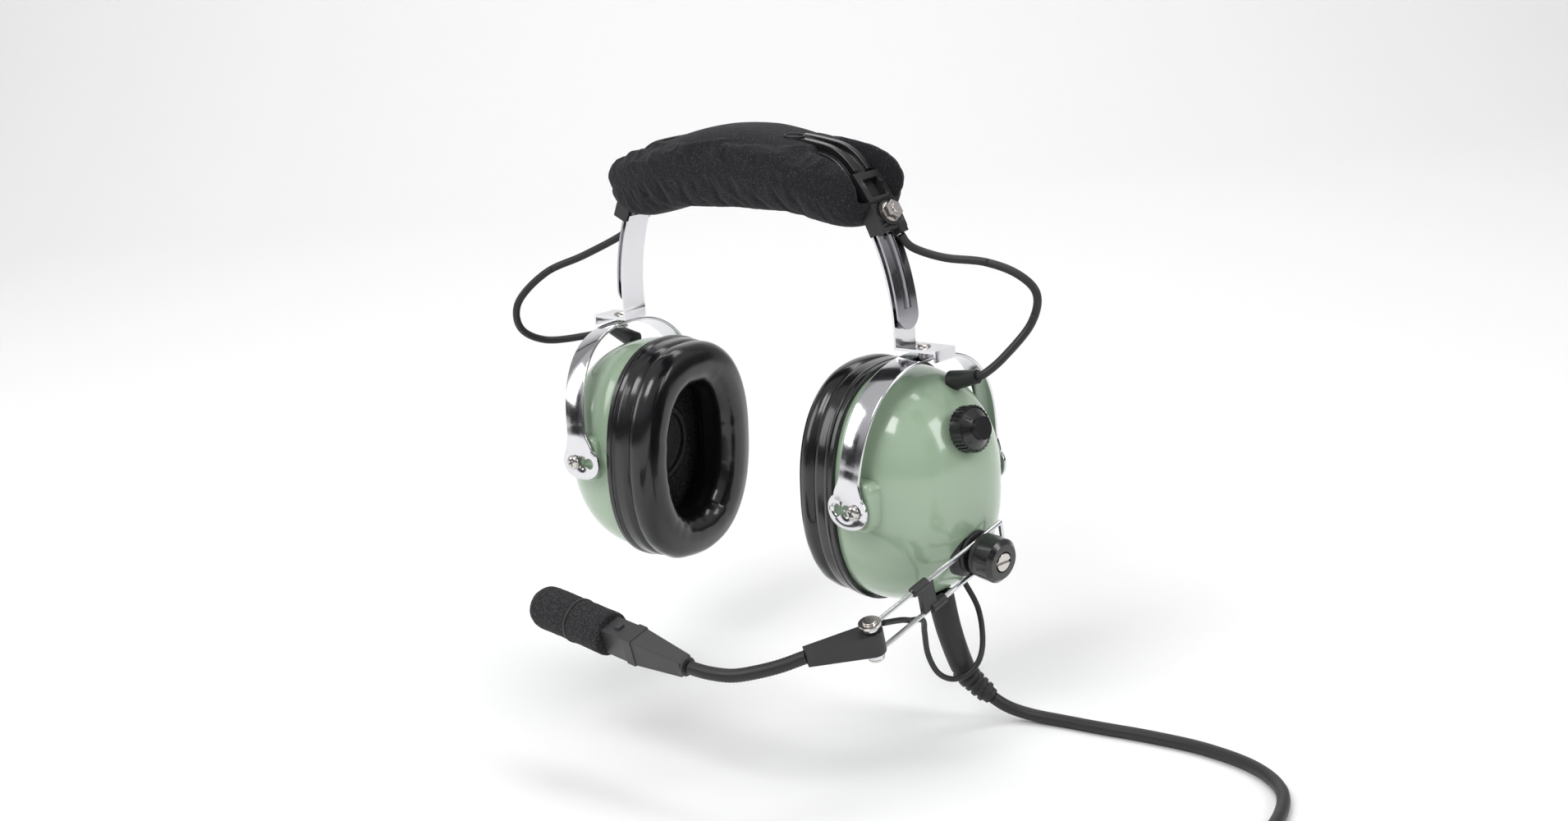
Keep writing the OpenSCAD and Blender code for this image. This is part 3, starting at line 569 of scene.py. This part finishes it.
relief_end = np.array([103, 13, -92.5])
approach = catmull(
    [relief_end, [108, 17, -97.5], [117, 21, -100.5], [130, 24, LIE_Z], [148, 26, LIE_Z], [170, 29, LIE_Z],
     [195, 30, LIE_Z], [220, 25, LIE_Z], [238, 13, LIE_Z], [248, -4, LIE_Z], [254, -26, LIE_Z]], 8)
wound = coil_line()
away = catmull(
    [wound[-1], [264.6, -74.9, -97.2], [268.2, -79.4, -98.4], [273, -84.4, -99.6], [278.6, -88.6, -100],
     [284.6, -91.2, -100], [292, -92, -100]], 6)
main_path = even(np.concatenate([approach, wound, away[1:]]), 1.6)
for _ in range(3):
    main_path[1:-1] = 0.25 * main_path[:-2] + 0.5 * main_path[1:-1] + 0.25 * main_path[2:]
main_cord = tube("main_cord_v", main_path, MAIN_D / 2, RUBBER, "cup_right", 18,
                 replaces=("main_cord", "main_coil"), slot="cord_jacket")
tie = refine("coil_tie", PLASTIC, 0.5, 3)
fork = refine("cord_fork", RUBBER, 1.2, 3)

FORK = np.array([300.0, -92.0, -100.0])
TAIL_D = 3.6
for which, s in (("phones", 1), ("mic", -1)):
    line = FORK + even(catmull([[9.9, s * 3, 0], [15, s * 3, -0.5], [24, s * 5, -2], [33, s * 7, -1.5],
                                [42, s * 7.5, 1], [48, s * 7.5, 1.2]], 8), 1.0)
    tail = tube(which + "_tail_v", line, TAIL_D / 2, RUBBER, "cup_right", 16,
                replaces=(which + "_tail",), slot="cord_jacket")
    grip = refine(which + "_plug_grip", PLASTIC, 0.4, 3)
    shank = refine(which + "_plug_shank", BRASS, 0.12, 2)


def crossed(name, points, diameter, spans, replaces):
    """A lead over several joints: a piece of tube for each joint's span of the line."""
    line = even(catmull(points, 10), 1.0)
    n = len(line) - 1
    for i, (a, b, f0, f1) in enumerate(spans):
        part = line[int(round(f0 * n)) : int(round(f1 * n)) + 1]
        o = tube(f"{name}_{i + 1}", part, diameter / 2, RUBBER, None, 16)
        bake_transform(o)
        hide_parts(replaces)


CROSS_D, LEAD_D = 3.4, 2.4
crossed("crossover_right_v",
        [[77.5, 4.5, 103], [80.5, 7.5, 97.5], [92, 13, 93], [108, 19, 91], [121, 23, 86], [128, 25, 78],
         [125, 24, 66], [118, 14.5, 54], [112.5, 8.5, 48], [109.4, 7.9, 47.1]], CROSS_D,
        [("headband", "slider_right", 0, 0.36), ("slider_right", "yoke_right", 0.36, 0.67),
         ("yoke_right", "cup_right", 0.67, 1)], "crossover_right")
crossed("crossover_left_v",
        [[-77.5, 4.5, 103], [-84, 2, 96], [-101, -8, 87], [-116, -19, 80], [-128, -27, 67], [-131, -25, 54],
         [-127, -14, 46.5], [-115, 0, 46.5], [-107.5, 7, 48.5], [-103.8, 7.7, 49.6]], CROSS_D,
        [("headband", "slider_left", 0, 0.36), ("slider_left", "yoke_left", 0.36, 0.67),
         ("yoke_left", "cup_left", 0.67, 1)], "crossover_left")
crossed("mic_lead_v",
        [[93, 12, -43.5], [97, 15, -55], [101, 12, -66], [103.5, 6, -73.5], [101, 0.5, -79], [97, -5, -80],
         [95.5, -12, -75], [96, -18, -65], [100, -24, -53], [104.5, -30, -45], [105, -38, -42.5],
         [107, -46, -39.5], [107.5, -57.5, -37]], LEAD_D,
        [("cup_right", "boom_clamp", 0, 0.40), ("boom_clamp", "boom_slide", 0.40, 0.73),
         ("boom_slide", "mic_arm", 0.73, 1)], "mic_lead")


# ------------------------------------------------------------------ ear cups
CUP_CURVE = 2.35


def profile(t, p=CUP_CURVE):
    """Share of the width left at share t of the way round from rim to tip, and the depth reached."""
    return abs(math.cos(t)) ** (2 / p), abs(math.sin(t)) ** (2 / p)


DOME_W, DOME_H, DOME_IN, DOME_OUT, DOME_WALL = 75.0, 98.0, 15.8, 26.5, 2.2
SEAL_W, SEAL_H, SEAL_DEPTH, SEAL_RIM = 77.5, 100.4, 21.0, 20.0
# the seal's section: how far in from its outer edge in mm, and the share of its depth
SEAL = [(0.6, 0), (0.05, 0.1), (0, 0.22), (0.1, 0.33), (0.75, 0.415), (1.0, 0.44), (0.75, 0.47),
        (0.15, 0.54), (0.1, 0.66), (0.75, 0.78), (2.6, 0.90), (5.4, 0.965), (8.4, 1.0), (11.6, 0.985),
        (14.4, 0.90), (16.2, 0.76), (17.1, 0.58), (17.0, 0.36), (16.2, 0.16), (14.2, 0)]
FLAT_PAD = [(27.0, -0.4), (34.0, 0.0), (38.9, 0.0), (39.7, 0.2), (40.2, 0.6), (40.45, 1.1), (40.5, 1.7)]
BOSS = [(3.6, 29), (3.6, 41.0), (3.3, 41.4), (1.5, 41.4)]


def cup_oval(x, w, h, count):
    return [(x, y, z) for y, z in oval(w, h, CUP_CURVE, count)]


def shell_piece(side, name, rings, sharp):
    """A moulded piece of the shell."""
    points, faces = skin(rings)
    outward(piece(f"dome_{side}_{name}", at_cup(side, points), faces, SAGE, f"cup_{side}", (f"dome_{side}",),
                  "sage_shell", sharp=sharp))


for side in ("right", "left"):
    flip = side == "left"
    # shell, outside and inside
    k = 160
    deep = DOME_IN + DOME_OUT
    rings = []
    for t in math.pi / 2 * (1 - np.arange(47) / 46):
        share, depth = profile(t)
        share = max(share, 0.004)
        rings.append(cup_oval(-DOME_IN + deep * depth, DOME_W * share, DOME_H * share, k))
    for grow, x in ((0.35, -0.25), (-0.2, 0.0)):
        rings.append(cup_oval(-DOME_IN + x, DOME_W - 0.7 + grow, DOME_H - 0.7 + grow, k))
    for t in math.pi / 2 * np.arange(24) / 23:
        share, depth = profile(t)
        share = max(share, 0.004)
        rings.append(cup_oval(-DOME_IN + (deep - DOME_WALL) * depth, (DOME_W - 2 * DOME_WALL) * share,
                              (DOME_H - 2 * DOME_WALL) * share, k))
    shell_piece(side, "shell", rings, 50)
    # flat pads for the yoke's end plates, with the bosses of the pivot screws
    for end, s in (("front", -1), ("rear", 1)):
        rings = []
        for y, shrink in FLAT_PAD:
            outline = oval(17.4 - 2 * shrink, 21 - 2 * shrink, 4, 96)
            rings.append([(x - 2.4, s * y, z + 1.5) for x, z in outline])
        shell_piece(side, f"pad_{end}", rings, 50)
        shell_piece(side, f"boss_{end}", [turned(r, s * y, 32) for r, y in BOSS], 40)
    # soft seal, with slack in its cover
    section = catmull(SEAL, 4, closed=True)
    k = 220
    rings = []
    for inset, depth in section:
        rim = 2 * inset * SEAL_RIM / 17.5
        rings.append(cup_oval(-18.6 - depth * SEAL_DEPTH, SEAL_W - rim, SEAL_H - rim, k))
    points, faces = skin(rings, closed=True)
    m = len(rings)
    which = np.repeat(np.arange(m), k) / m
    turn = np.tile(np.arange(k) / k * 2 * math.pi, m)
    centre = np.stack([np.full(len(points), -30.0), 0.75 * 38.7 * np.cos(turn),
                       0.80 * SEAL_H / 2 * np.sin(turn)], axis=1)
    out = points - centre
    out /= np.linalg.norm(out, axis=1)[:, None]
    around = np.stack([12 * np.cos(turn), 16 * np.sin(turn), 5 * which], axis=1) + (3.0 if flip else 0.0)
    inner = smoothstep(np.abs(which - 0.76), 0.22, 0.06)
    outer = smoothstep(np.abs(which - 0.34), 0.2, 0.05)
    low = 0.35 + 0.65 * smoothstep(-points[:, 2], -20, 42)
    folds = bumps(around * [1, 1, 0.7], 2.2, 1.0, 2.0) * inner * 0.5 * low
    folds += bumps(around * [1, 1, 0.5], 2.6, 1.0, 5.0) * outer * 0.42 * low
    folds += bumps(points, 22, 0.30, 9.0) * np.clip(inner + outer, 0, 1)
    folds = np.minimum(folds, 0.45)
    points = points + out * folds[:, None]
    seal = piece(f"ear_seal_{side}_v", at_cup(side, points), faces, VINYL, f"cup_{side}",
                 (f"ear_seal_{side}",), "black_vinyl")
    outward(seal)
    refine(f"seal_plate_{side}", GLOSS, 0.6, 3)
    refine(f"speaker_{side}", SPEAKER, 0.6, 3)
    # the liner takes the darkened foam colour: painted shade inside the cup
    refine(f"foam_liner_{side}", LINER_PAINTED_SHADE, 1.0, 3)
    for end, s in (("front", -1), ("rear", 1)):
        pivot_screw(side, end, s)
    refine(f"cord_relief_{side}", RUBBER, 0.4, 2)
    for end, s in (("front", -1), ("rear", 1)):
        yoke_plate(side, end, s)
    yoke_strap(side)
    refine(f"inner_strap_{side}", CHROME, 0.35, 3)
    # the slotted straps take the dimmer chrome, whose darker colour is a painted dark reflection
    refine(f"slotted_strap_{side}", CHROME_PAINTED_DARK_REFLECTION, 0.35, 3)
    refine(f"foot_rivet_{side}", HARDWARE, 0.4, 3)
    refine(f"end_bracket_{side}", PLASTIC, 0.4, 3)

# ------------------------------------------------------------------ headband
refine("headband_spring", SPRING, 0.2, 2)
refine("cord_channel", GLOSS, 0.4, 3)
refine("clamp_bolts", HARDWARE, 0.3, 2)
refine("clamp_nuts", HARDWARE, 0.45, 3)

corner_x = BEND_X + (SPRING_R - CORNER_R) * math.cos(math.radians(SIDE_A))
corner_z = BEND_Z + (SPRING_R - CORNER_R) * math.sin(math.radians(SIDE_A))
drop = TOP - corner_z
top_r = (corner_x**2 + drop**2 - CORNER_R**2) / (2 * (drop - CORNER_R))
top_z = TOP - top_r
top_a = math.degrees(math.atan2(corner_x, corner_z - top_z))


def over_band(p):
    """How far a point lies above the band's line, and the way that it would move off it."""
    s = 1.0 if p[0] >= 0 else -1.0
    x, z = abs(p[0]), p[2]
    if math.degrees(math.atan2(z - BEND_Z, x - BEND_X)) < SIDE_A:
        d = np.array([x - BEND_X, z - BEND_Z])
        r = SPRING_R
    elif math.degrees(math.atan2(z - corner_z, x - corner_x)) < 90 - top_a:
        d = np.array([x - corner_x, z - corner_z])
        r = CORNER_R
    else:
        d = np.array([x, z - top_z])
        r = top_r
    far = np.linalg.norm(d)
    d = d / far
    return far - r, np.array([s * d[0], 0, d[1]])


PAD_LINE = catmull(
    [[-79, 0, 113], [-74, 0, 118.5], [-63, 0, 122.6], [-46, 0, 126.4], [-24, 0, 130.4], [0, 0, 132.2],
     [24, 0, 130.4], [46, 0, 126.4], [63, 0, 122.6], [74, 0, 118.5], [79, 0, 113]], 12)[12:-12]
PAD_LINE = even(PAD_LINE, 0.5)
PAD_HALF = 23.4


def pad_rings(nv, nu):
    """Rings across the pad, from the left end to the right, with the seams at its two sides."""
    n = len(PAD_LINE) - 1
    t = np.gradient(PAD_LINE, axis=0)
    t /= np.linalg.norm(t, axis=1)[:, None]
    rings = []
    for i in range(nv + 1):
        e = -math.cos(math.pi * i / nv)
        f = 0.5 + 0.5 * e
        centre = PAD_LINE[int(round(f * n))]
        along = t[int(round(f * n))]
        upward = np.array([-along[2], 0, along[0]])
        x = abs(centre[0])
        round_off = max(1 - abs(e) ** 9.0, 0.0) ** (1 / 3.2)
        half_t = 17.3 - 2.8 * float(smoothstep(x, 8, 44)) + 1.4 * float(smoothstep(x, 30, 66))
        half_t = half_t * max(round_off, 0.03)
        half_w = PAD_HALF * (0.82 + 0.18 * float(smoothstep(x, 76, 30))) * max(round_off**0.8, 0.05)
        ring = []
        for j in range(nu):
            a = 2 * math.pi * j / nu
            c, s = math.cos(a), math.sin(a)
            y = half_w * math.copysign(abs(c) ** 0.74, c)
            h = half_t * math.copysign(abs(s) ** (0.80 if s > 0 else 0.86), s)
            ring.append(centre + upward * h + np.array([0, y, 0]))
        rings.append(ring)
    return rings


NV, NU = 150, 84
points, faces = skin(pad_rings(NV, NU))
seam_rows = {0, NU // 2}
pad = piece("head_pad_v", points, faces, KNIT, None)
outward(pad)
hold = pad.vertex_groups.new(name="hold")
for i in range(NV + 1):
    for j in range(NU):
        p = points[i * NU + j]
        near_seam = min(j, NU - j, abs(j - NU // 2))
        w = 1.0 if j in seam_rows else 0.62 if near_seam == 1 else 0.09
        if abs(p[0]) > 46 and abs(p[1]) < 13 and j < NU // 2:
            w = 1.0
        if abs(p[0]) > 70:
            w = max(w, 0.7)
        hold.add([i * NU + j], w, "REPLACE")
cloth = pad.modifiers.new("Cloth", "CLOTH")
c = cloth.settings
c.quality = 6
c.mass = 0.15
c.tension_stiffness = c.compression_stiffness = 12
c.shear_stiffness = 8
c.bending_stiffness = 0.6
c.use_pressure = True
c.uniform_pressure_force = 2.2
c.shrink_min = -0.035
c.vertex_group_mass = "hold"
c.pin_stiffness = 0.6
c.effector_weights.gravity = 0.3
cloth.collision_settings.use_collision = False
cloth.collision_settings.use_self_collision = False
scene = bpy.context.scene
scene.frame_start, scene.frame_end = 1, 26
cloth.point_cache.frame_start, cloth.point_cache.frame_end = 1, 26
for f in range(1, 27):
    scene.frame_set(f)
done = pad.evaluated_get(bpy.context.evaluated_depsgraph_get())
settled = np.array([v.co for v in done.data.vertices]) / MM
pad.modifiers.remove(cloth)
scene.frame_set(1)
drift = settled - points
far = np.linalg.norm(drift, axis=1)[:, None]
points = points + drift * np.minimum(1, 2.2 / np.maximum(far, 1e-6))
print("pad cloth moved", round(float(far.max()), 2), "mm, mean", round(float(far.mean()), 2))
shape = points.copy()
for i in range(NV + 1):
    for j in range(NU):
        p = points[i * NU + j]
        # the seam draws the cover in
        near_seam = min(j, NU - j, abs(j - NU // 2))
        if near_seam <= 1:
            p = p - np.array([0, math.copysign((0.75, 0.3)[near_seam], p[1]), 0])
        # the top lies open over the band at both ends
        if j < NU // 2 or near_seam == 0:
            reach = 9.4 if p[1] > 0 else 17.0
            depth = 1 - float(smoothstep(abs(p[1]), 8.0, reach))
            depth = depth * float(smoothstep(abs(p[0]), 42.0, 48.0))
            over, way = over_band(p)
            if depth > 0 and over > -0.9:
                p = p - way * (over + 0.9) * depth
        shape[i * NU + j] = p
pad.data.vertices.foreach_set("co", (shape * MM).ravel())
pad.data.update()
soft = pad.modifiers.new("Subdivision", "SUBSURF")
soft.levels = soft.render_levels = 1
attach(pad, "headband")
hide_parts("head_pad")

# a small stitched ring on the pad's top
ring_at = np.array([31.5, -4.0, 0.0])
over = [p for p in shape if abs(p[0] - ring_at[0]) < 2.5 and abs(p[1] - ring_at[1]) < 2.5 and p[2] > 135]
ring_z = max(p[2] for p in over) if over else 147.0
loop = np.array([[ring_at[0] + 4.0 * math.cos(a), ring_at[1] + 4.0 * math.sin(a),
                  ring_z + 0.1 - 0.13 * 4.0 * math.cos(a)] for a in np.linspace(0, 2 * math.pi, 49)])
tube("pad_ring", loop, 0.42, SPEAKER, "headband", 8, slot="pad_cloth")

# ------------------------------------------------------------------ volume control and boom
refine("volume_pot", PLASTIC, 0.3, 2)
refine("volume_knob", GLOSS, 0.3, 2)
refine("boom_base", PLASTIC, 0.5, 3)
refine("boom_stud", HARDWARE, 0.3, 2)
refine("boom_swivel", PLASTIC, 0.4, 3)
refine("boom_wires", CHROME, 0.2, 2, 50)
refine("lead_clip", PLASTIC, 0.35, 3)
refine("boom_knob", GLOSS, 0.8, 4)
refine("boom_screw", HARDWARE, 0.3, 2)
refine("bracket_bolt", HARDWARE, 0.3, 2)
refine("mic_bracket", PLASTIC, 0.6, 3)
refine("mic_housing", MIC, 0.5, 3)
refine("mic_capsule", MIC, 0.4, 2)
refine("muff_ring", RUBBER, 0.4, 3)

line = even(catmull(GOOSE, 12), 0.7)
ribs = 2.7 + 0.06 * np.cos(np.arange(len(line)) * math.pi)
world = at_arm(line + [0, -27, 0])
tube("gooseneck_v", world, ribs, RUBBER, "mic_arm", 24, replaces=("gooseneck",), slot="cord_jacket")

# foam muff, with the groove that its ring sits in
stations = [(-44, 6.4), (-44.1, 8.4), (-45.2, 9.0), (-51, 9.0), (-61, 9.0), (-62.2, 8.8), (-63, 8.15),
            (-63.8, 8.8), (-65, 9.0), (-74, 9.0), (-81.5, 8.95), (-84.2, 8.2), (-86.2, 6.8), (-87.4, 4.8),
            (-87.9, 2.4), (-88, 0.3)]
profile_line = catmull([(y, r, 0) for y, r in stations], 5)
points, faces = skin([turned(r, y, 96) for y, r, _ in profile_line])
points = np.asarray(points)
radial = points * [1, 0, 1]
radial /= np.maximum(np.linalg.norm(radial, axis=1), 1e-6)[:, None]
rough = bumps(points, 1.1, 0.16, 1.0) + bumps(points, 6.0, 0.2, 4.0) + rng.normal(0, 0.03, len(points))
points = points + radial * np.minimum(rough, 0.2)[:, None]
muff = piece("foam_muff_v", at_mic(points), faces, FOAM, "mic_arm", ("foam_muff",), "foam_black")
outward(muff)

# strain relief of the main cord
bend = catmull([[89.5, 0, -45], [92, 1.6, -62], [95, 5.6, -79], [98.6, 9.2, -86.4], relief_end], 16)
bend = even(bend, 0.4)
length = np.concatenate([[0], np.cumsum(np.linalg.norm(np.diff(bend, axis=0), axis=1))])
radius = np.interp(length, [0, 3, 34, 35.5, length[-1]], [5.6, 5.6, 5.0, 4.3, 3.5])
for r0 in range(5):
    at = 36.6 + r0 * 3.1
    radius = np.maximum(radius, np.where(np.abs(length - at) < 0.9, 5.3 - 0.2 * r0, 0))
tube("main_relief_v", bend, radius, RUBBER, "cup_right", 36, replaces=("main_relief",), slot="cord_jacket")

# ------------------------------------------------------------------ floor and light
def stage_mesh(name, points, faces, mat):
    mesh = bpy.data.meshes.new(name)
    mesh.from_pydata(points, [], faces)
    mesh.materials.append(mat)
    mesh.polygons.foreach_set("use_smooth", [True] * len(mesh.polygons))
    o = bpy.data.objects.new(name, mesh)
    bpy.context.scene.collection.objects.link(o)
    o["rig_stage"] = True
    return o


def board(name, at, to, w, h, mat):
    way = (Vector(to) - Vector(at)).to_track_quat("-Z", "Y").to_matrix()
    corners = []
    for x, y in ((-1, -1), (1, -1), (1, 1), (-1, 1)):
        corners.append(tuple(Vector(at) + way @ Vector((x * w / 2, y * h / 2, 0))))
    stage_mesh(name, corners, [(0, 1, 2, 3)], mat)


FLAG = material("black_board", (0.01, 0.01, 0.01), 0.9)
grain(FLAG, 200, 0.2, 0.0005)
board("board_right", (1.7, -0.35, 0.25), (0, 0, 0.05), 0.55, 1.2, FLAG)
board("board_left", (-1.3, -1.5, 0.15), (0, 0, 0.05), 0.5, 1.0, FLAG)
board("board_above", (0.9, -0.2, 1.35), (0, 0, 0.05), 0.5, 0.5, FLAG)

PAPER = material("studio_paper", (0.93, 0.93, 0.93), 0.75)
grain(PAPER, 300, 0.02, 0.0002)
mottle(PAPER, 40, 0.7, 0.8)
# a flat floor that curves up into a wall behind the object
sweep = [(-6.0, 0.0), (1.6, 0.0)]
for a in np.linspace(0.1, math.pi / 2, 16):
    sweep.append((1.6 + 0.9 * math.sin(a), 0.9 - 0.9 * math.cos(a)))
sweep.append((2.5, 5.0))
floor = []
for d, z in sweep:
    for w in (-7.0, 7.0):
        floor.append((-0.69 * d + 0.724 * w, 0.724 * d + 0.69 * w, FLOOR_Z * MM + z))
strips = [(2 * i, 2 * i + 1, 2 * i + 3, 2 * i + 2) for i in range(len(sweep) - 1)]
stage_mesh("floor", floor, strips, PAPER)


def softbox(name, at, to, size, power, colour=(1, 1, 1)):
    light = bpy.data.lights.new(name, "AREA")
    light.shape = "RECTANGLE"
    light.size, light.size_y = size
    light.energy = power
    light.color = colour
    o = bpy.data.objects.new(name, light)
    o.location = at
    o.rotation_euler = (Vector(to) - Vector(at)).to_track_quat("-Z", "Y").to_euler()
    bpy.context.scene.collection.objects.link(o)
    return o


softbox("key_light", (0.1, -1.1, 1.25), (0, 0, 0.02), (0.8, 0.6), 11)
softbox("side_light", (1.35, 0.25, 0.75), (0.05, 0, 0), (0.5, 0.8), 6)
softbox("left_light", (-1.1, -0.9, 0.6), (-0.05, 0, 0), (0.5, 0.8), 4)
softbox("top_light", (-0.1, 0.5, 1.5), (0, 0, 0), (1.1, 0.7), 8)
softbox("back_light", (-0.83, 0.87, 1.7), (-1.75, 1.85, 0.9), (2.0, 1.0), 14)
world = bpy.data.worlds.new("studio")
world.use_nodes = True
w = world.node_tree
high_low = w.nodes.new("ShaderNodeSeparateXYZ")
w.links.new(w.nodes.new("ShaderNodeTexCoord").outputs["Generated"], high_low.inputs["Vector"])
dome = w.nodes.new("ShaderNodeValToRGB")
for position, grey in ((0.0, 0.10), (0.12, 0.16), (0.30, 0.75), (0.55, 1.0)):
    stop = dome.color_ramp.elements[0] if position == 0 else dome.color_ramp.elements.new(position)
    stop.position, stop.color = position, (grey, grey, grey * 1.03, 1)
w.links.new(high_low.outputs["Z"], dome.inputs["Fac"])
w.links.new(dome.outputs["Color"], w.nodes["Background"].inputs["Color"])
w.nodes["Background"].inputs["Strength"].default_value = 0.55
bpy.context.scene.world = world
bpy.context.scene.view_settings.view_transform = "Standard"

low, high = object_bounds()
